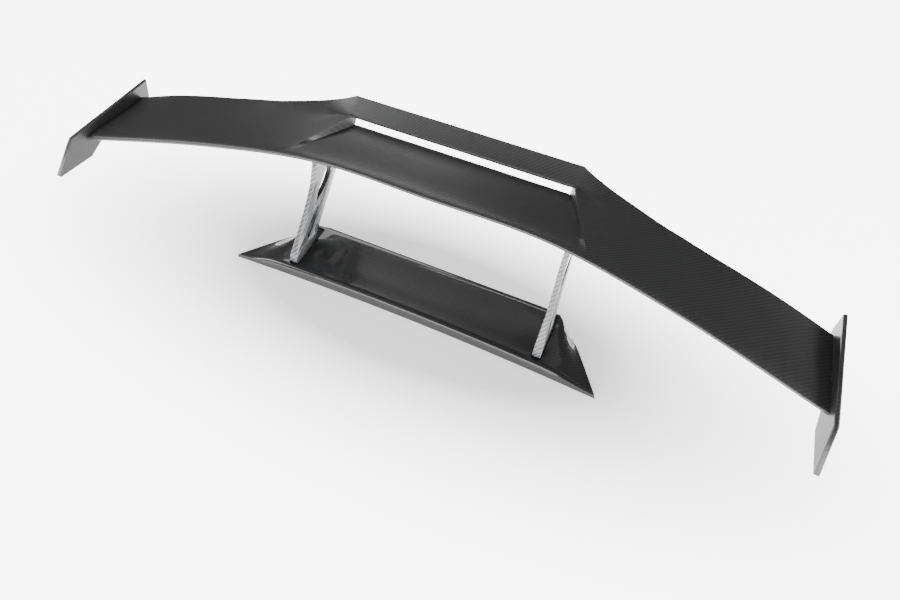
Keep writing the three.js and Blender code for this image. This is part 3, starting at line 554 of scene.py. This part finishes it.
def nose_arc(degrees):
    """A place on the second element's round nose."""
    radius = BRIDGE_NOSE / 2
    turn = math.radians(degrees)
    return (radius - radius * math.cos(turn), radius * math.sin(turn) - radius)


# shares of the chord that the slot's front edge takes up on the raised and on the plain sides
RAISED_AT_SLOT = 0.93
OUTER_AT_SLOT = 0.78


# Each row runs along the span. front is its share of the chord ahead of the slot, raised and outer
# its shares beside the slot and further out, and bridge its place on the second element.
def front_rows(shares):
    return [dict(front=s, raised=s * RAISED_AT_SLOT, outer=s * OUTER_AT_SLOT, bridge=None,
                 beyond=False) for s in shares]


def bridge_row(place, raised, outer, beyond=True):
    return dict(front=None, raised=raised, outer=outer, bridge=place, beyond=beyond)


def bridge_at(share, q):
    return (BRIDGE_NOSE / 2 + share * (BRIDGE_CHORD - BRIDGE_NOSE / 2), q)


NOSE_SHARES = [0, 0.0015, 0.005, 0.012, 0.025, 0.045, 0.07]
UPPER_ROWS = front_rows(NOSE_SHARES + [0.11, 0.15, 0.21, 0.28, 0.36, 0.45, 0.54, 0.64, 0.73, 0.83,
                                       0.92, 1]) + [
    bridge_row(nose_arc(-45), 0.945, 0.80, False),
    bridge_row(nose_arc(-20), 0.955, 0.81, False),
    bridge_row(nose_arc(5), 0.9675, 0.825, False),
    bridge_row(nose_arc(30), 0.98, 0.84, False),
    bridge_row(nose_arc(60), 0.99, 0.855, False),
    bridge_row(nose_arc(90), 1, 0.87),
    bridge_row(bridge_at(0.25, -0.3), 1, 0.90),
    bridge_row(bridge_at(0.5, -0.4), 1, 0.93),
    bridge_row(bridge_at(0.75, -0.3), 1, 0.965),
    bridge_row(bridge_at(1, 0), 1, 1),
]
LOWER_ROWS = front_rows(NOSE_SHARES + [0.12, 0.2, 0.28, 0.36, 0.46, 0.56, 0.67, 0.78, 0.89, 1]) + [
    bridge_row(nose_arc(-75), 1, 0.85),
    bridge_row(bridge_at(0.25, -BRIDGE_NOSE + 0.6), 1, 0.885),
    bridge_row(bridge_at(0.5, -BRIDGE_NOSE + 1.8), 1, 0.92),
    bridge_row(bridge_at(0.75, (-BRIDGE_NOSE + 1.8 - EDGE_DEPTH) / 2), 1, 0.96),
    bridge_row(bridge_at(1, -EDGE_DEPTH), 1, 1),
]
INNER_COUNT = 36
ROWS_BETWEEN = 3
SOFTEN_START = 0.5
OUTER_SHARES = [0, 0.004, 0.008, 0.014, 0.022] + list(np.linspace(0.035, 1, 84))


def soften_sides(fine, marks, first_mark):
    """Lets the raised sides flow from front to rear, where no slot's corner creases them."""
    distance = np.abs(fine[..., 0]).min(axis=0) - SLOT_HALF - 2 * CHEEK_WIDTH
    weight = smooth(clamp01((distance - SOFTEN_FROM) / SOFTEN_OVER))[None, :, None]
    start = int(np.argmax(marks >= first_mark))
    part = fine[start:].copy()
    for _ in range(SOFTEN_PASSES):
        middle = (part[:-2] + part[2:]) / 2
        part[1:-1] += (middle - part[1:-1]) * SOFTEN_STEP * weight
    fine[start:] = part
    return fine


def node_limits(node_name):
    """Two opposite corners of a CAD node's box, in millimetres."""
    corners = np.array([vertex.co for vertex in nodes[node_name].data.vertices])
    return corners.min(axis=0) / MM, corners.max(axis=0) / MM


def blade_mesh(name, row_set, side, replaced):
    """One skin of the blade, open at the slot; side is 1 for the upper and -1 for the lower."""
    end_x = SPAN / 2 - GAP
    shift = 0 if side > 0 else CHEEK_WIDTH

    def lift(share):
        if side > 0:
            gained = float(clamp01((share - CHEEK_FRONT) / (1 - CHEEK_FRONT)))
            return NOSE_LIFT * (1 - (1 - gained) ** CHEEK_BULGE)
        rising = float(clamp01((share - LOWER_LIFT_FROM) / (1 - LOWER_LIFT_FROM)))
        return (NOSE_LIFT - BRIDGE_NOSE) * rising ** 2

    def ridge_x(row):
        run = RAISED_AT_SLOT - CHEEK_FRONT
        fade = 1 - float(clamp01((row["raised"] - CHEEK_FRONT) / run))
        return SLOT_HALF + CHEEK_WIDTH + shift + (CHEEK_FRONT_X - SLOT_HALF - CHEEK_WIDTH) * fade

    def bridge_point(x, row):
        y, z = trailing_edge(x)
        dy, dz = bridge_offset(*row["bridge"])
        return np.array([x, y + dy, z + dz])

    def inner_point(x, row):
        return bridge_point(x, row) if row["bridge"] else plain_point(x, row["front"], side)

    def outer_point(x, row):
        rise = rise_share(x)
        plain = plain_point(x, lerp(row["outer"], row["raised"], rise), side)
        if not row["beyond"]:
            return plain + np.array([0, 0, rise * lift(row["raised"])])
        top = plain_point(x, 1, side)
        raised = bridge_point(x, row)
        return plain + np.array([0, (raised[1] - top[1]) * rise, (raised[2] - top[2]) * rise])

    half = []
    for row in row_set:
        ridge = ridge_x(row)
        foot = ridge - CHEEK_WIDTH
        half.append([inner_point(k * foot / INNER_COUNT, row) for k in range(INNER_COUNT + 1)]
                    + [outer_point(lerp(ridge, end_x, k), row) for k in OUTER_SHARES])
    half = np.array(half)
    mirrored = half[:, :0:-1] * np.array([-1, 1, 1])
    coarse = np.concatenate([mirrored, half], axis=1)
    slot_row = next(k for k, row in enumerate(row_set) if row["bridge"]) - 1
    fine, marks = spline_rows(coarse, ROWS_BETWEEN, {slot_row})
    fine = soften_sides(fine, marks, SOFTEN_START * slot_row)
    # the cloth follows the span one way and the surface's own depth the other
    step = np.linalg.norm(np.diff(fine, axis=0), axis=2)
    depth = np.concatenate([np.zeros((1, fine.shape[1])), np.cumsum(step, axis=0)])
    cloth = np.stack([fine[..., 0], depth], axis=2)
    keep = np.ones((fine.shape[0] - 1, fine.shape[1] - 1), bool)
    middle = half.shape[1] - 1
    slot = int(np.argmax(marks == slot_row))
    keep[slot, middle - INNER_COUNT:middle + INNER_COUNT] = False
    return sheet_mesh(name, fine + TOE, -SKIN * side, keep, cloth, node_limits(replaced))


for level, row_set, facing in (("upper", UPPER_ROWS, 1), ("lower", LOWER_ROWS, -1)):
    laminate = f"blade_{level}_laminate"
    skin = f"blade_{level}_skin"
    make_piece(laminate, blade_mesh(laminate, row_set, facing, skin), satin_carbon,
               "blade", [skin])


# ------------------------------------------------------------------ carried-over CAD nodes
slots = {entry["node"]: entry["material_slot"] for entry in frame["record"]["subparts"]}
for node_name, node in nodes.items():
    node.data.materials.clear()
    node.data.materials.append(BY_SLOT[slots[node_name]])


# how squarely a face must look sideways to be shaded as flat
FLAT_SIDE = 0.9995
MERGE_WITHIN = 2e-6


def finer_copy(node_name, piece_name, material, body, degrees=40):
    """A node's own shape with merged points, rounded shading and cloth laid on each side."""
    mesh = nodes[node_name].data.copy()
    mesh.name = piece_name
    work = bmesh.new()
    work.from_mesh(mesh)
    bmesh.ops.remove_doubles(work, verts=work.verts, dist=MERGE_WITHIN)
    work.to_mesh(mesh)
    work.free()
    cloth_by_facing(mesh)
    soften(mesh, degrees)
    for face in mesh.polygons:
        if abs(face.normal.x) > FLAT_SIDE:
            face.use_smooth = False
    return make_piece(piece_name, mesh, material, body, [node_name])


# each pylon cutout: its two ends in side view, millimetres from the toe
CUTOUTS = (((49, 42), (98, 108)), ((90, 126), (156, 210)))
CUTOUT_REACH = 22.0
CUTOUT_PAST = 0.1
WALL_FACING = 0.6


def mark_cutout_walls(mesh):
    """Marks the walls inside the cutouts, which get painted shade: near-black colour and no
    lacquer; the rest of a pylon is lacquered.
    """
    layer = mesh.attributes.new("inside", "FLOAT", "FACE")
    for face in mesh.polygons:
        place = np.array(face.center)[1:] / MM - TOE[1:]
        for first, last in CUTOUTS:
            run = np.array(last) - np.array(first)
            length = np.linalg.norm(run)
            offset = place - np.array(first)
            along = offset @ run / length ** 2
            aside = abs(offset[0] * run[1] - offset[1] * run[0]) / length
            beside = aside < CUTOUT_REACH and -CUTOUT_PAST < along < 1 + CUTOUT_PAST
            if beside and abs(face.normal.x) < WALL_FACING:
                layer.data[face.index].value = 1.0


for side in ("left", "right"):
    finer_copy(f"{side}_end_plate", f"{side}_end_plate_laminate", satin_carbon,
               "blade")
    leg = finer_copy(f"{side}_pylon", f"{side}_pylon_laminate", pylon_carbon,
                     "stand")
    mark_cutout_walls(leg.data)
finer_copy("base_panel_skin", "base_panel_laminate", gloss_carbon, "stand", 30)


# ------------------------------------------------------------------ bracket screw washers
# millimetres; the flange they sit on rises by its slope towards the rear
WASHER = {"Outer Radius": 5.0, "Hole Radius": 2.7, "Thickness": 0.6}
SCREW_HEAD = 4.0
WASHER_ABOVE_HEAD = 1.15
FLANGE_SLOPE = 0.185
RING_STEPS = 40


def washer_tree(material):
    """Geometry Nodes: a flat tilted ring on every point of the incoming mesh."""
    tree = bpy.data.node_groups.new("washers", "GeometryNodeTree")
    tree.interface.new_socket("Geometry", in_out="INPUT", socket_type="NodeSocketGeometry")
    for name in ("Outer Radius", "Hole Radius", "Thickness", "Tilt"):
        tree.interface.new_socket(name, in_out="INPUT", socket_type="NodeSocketFloat")
    tree.interface.new_socket("Geometry", in_out="OUTPUT", socket_type="NodeSocketGeometry")

    def add(kind, settings=None, **feeds):
        made = tree.nodes.new(kind)
        for key, value in (settings or {}).items():
            setattr(made, key, value)
        # a name like _0 stands for a socket's number
        for socket, value in feeds.items():
            target = made.inputs[int(socket[1:])] if socket[0] == "_" else made.inputs[socket]
            if hasattr(value, "is_output"):
                tree.links.new(value, target)
            else:
                target.default_value = value
        return made

    given = tree.nodes.new("NodeGroupInput").outputs
    total = add("ShaderNodeMath", {"operation": "ADD"}, _0=given["Outer Radius"],
                _1=given["Hole Radius"]).outputs[0]
    middle = add("ShaderNodeMath", {"operation": "MULTIPLY"}, _0=total, _1=0.5).outputs[0]
    band = add("ShaderNodeMath", {"operation": "SUBTRACT"}, _0=given["Outer Radius"],
               _1=given["Hole Radius"]).outputs[0]
    circle = add("GeometryNodeCurvePrimitiveCircle", Resolution=RING_STEPS, Radius=middle)
    section = add("GeometryNodeCurvePrimitiveQuadrilateral", Width=band, Height=given["Thickness"])
    ring = add("GeometryNodeCurveToMesh", _0=circle.outputs[0], _1=section.outputs[0])
    turn = add("ShaderNodeCombineXYZ", X=given["Tilt"])
    placed = add("GeometryNodeInstanceOnPoints", Points=given["Geometry"],
                 Instance=ring.outputs[0], Rotation=turn.outputs[0])
    real = add("GeometryNodeRealizeInstances", _0=placed.outputs[0])
    painted = add("GeometryNodeSetMaterial", Geometry=real.outputs[0], Material=material)
    out = tree.nodes.new("NodeGroupOutput")
    tree.links.new(painted.outputs[0], out.inputs[0])
    return tree


def bracket_washers():
    """A washer above each bracket screw's head, as one mesh."""
    centres = []
    for side in ("left", "right"):
        for number in range(1, 5):
            low, high = node_limits(f"{side}_bracket_screw_{number}")
            middle = (low + high) / 2
            centres.append((middle[0], middle[1], low[2] + SCREW_HEAD + WASHER_ABOVE_HEAD))
    seats = bpy.data.meshes.new("washer_seats")
    seats.from_pydata((np.array(centres) * MM).tolist(), [], [])
    holder = bpy.data.objects.new("washer_seats", seats)
    bpy.context.scene.collection.objects.link(holder)
    modifier = holder.modifiers.new("washers", "NODES")
    modifier.node_group = washer_tree(steel)
    values = {name: size * MM for name, size in WASHER.items()}
    values["Tilt"] = math.atan(FLANGE_SLOPE)
    for item in modifier.node_group.interface.items_tree:
        if item.name in values:
            modifier[item.identifier] = values[item.name]
    depsgraph = bpy.context.evaluated_depsgraph_get()
    mesh = bpy.data.meshes.new_from_object(holder.evaluated_get(depsgraph))
    holder.modifiers.remove(modifier)
    bpy.data.objects.remove(holder)
    mesh.name = "bracket_washers"
    soften(mesh, 40)
    return mesh


make_piece("bracket_washers", bracket_washers(), steel, "blade")


# ------------------------------------------------------------------ floor
FLOOR_REACH = 6.0
FLOOR_DROP = 0.0005
PAPER_GLOW = 7.0
# the oval of painted shadow on the floor around the wing: its shape, where it starts, how fast it
# fades and how dark it gets
HALO_ACROSS = 0.9
HALO_ALONG = 5.0
HALO_START = 0.42
HALO_FADE = 1.4
FLOOR_SHADOW_LEVEL = 0.12
floor_mesh = bpy.data.meshes.new("studio_floor")
corners = ((-1, -1), (1, -1), (1, 1), (-1, 1))
floor_mesh.from_pydata([(x * FLOOR_REACH, y * FLOOR_REACH, 0) for x, y in corners], [],
                       [(0, 1, 2, 3)])
floor = bpy.data.objects.new("studio_floor", floor_mesh)
bpy.context.scene.collection.objects.link(floor)
paper = Recipe("studio_paper", Roughness=0.9, Emission_Strength=PAPER_GLOW)
across, along, _ = paper.split(paper.object_place())
# painted shadow: the paper's glow is dimmed in an oval under the wing
reach_out = (across * across * HALO_ACROSS + along * along * HALO_ALONG).power(0.5)
glow = ((reach_out - HALO_START) * HALO_FADE).clamped()
paper.set("Emission Color", paper.blend(glow, grey(FLOOR_SHADOW_LEVEL), grey(1.0)))
fleck = paper.noise(paper.object_place(), 40.0, 3.0)
paper.set("Base Color", paper.blend(fleck, (0.92, 0.92, 0.925, 1), (0.94, 0.94, 0.945, 1)))
floor_mesh.materials.append(paper.material)
floor.location = (0, 0, -FLOOR_DROP)
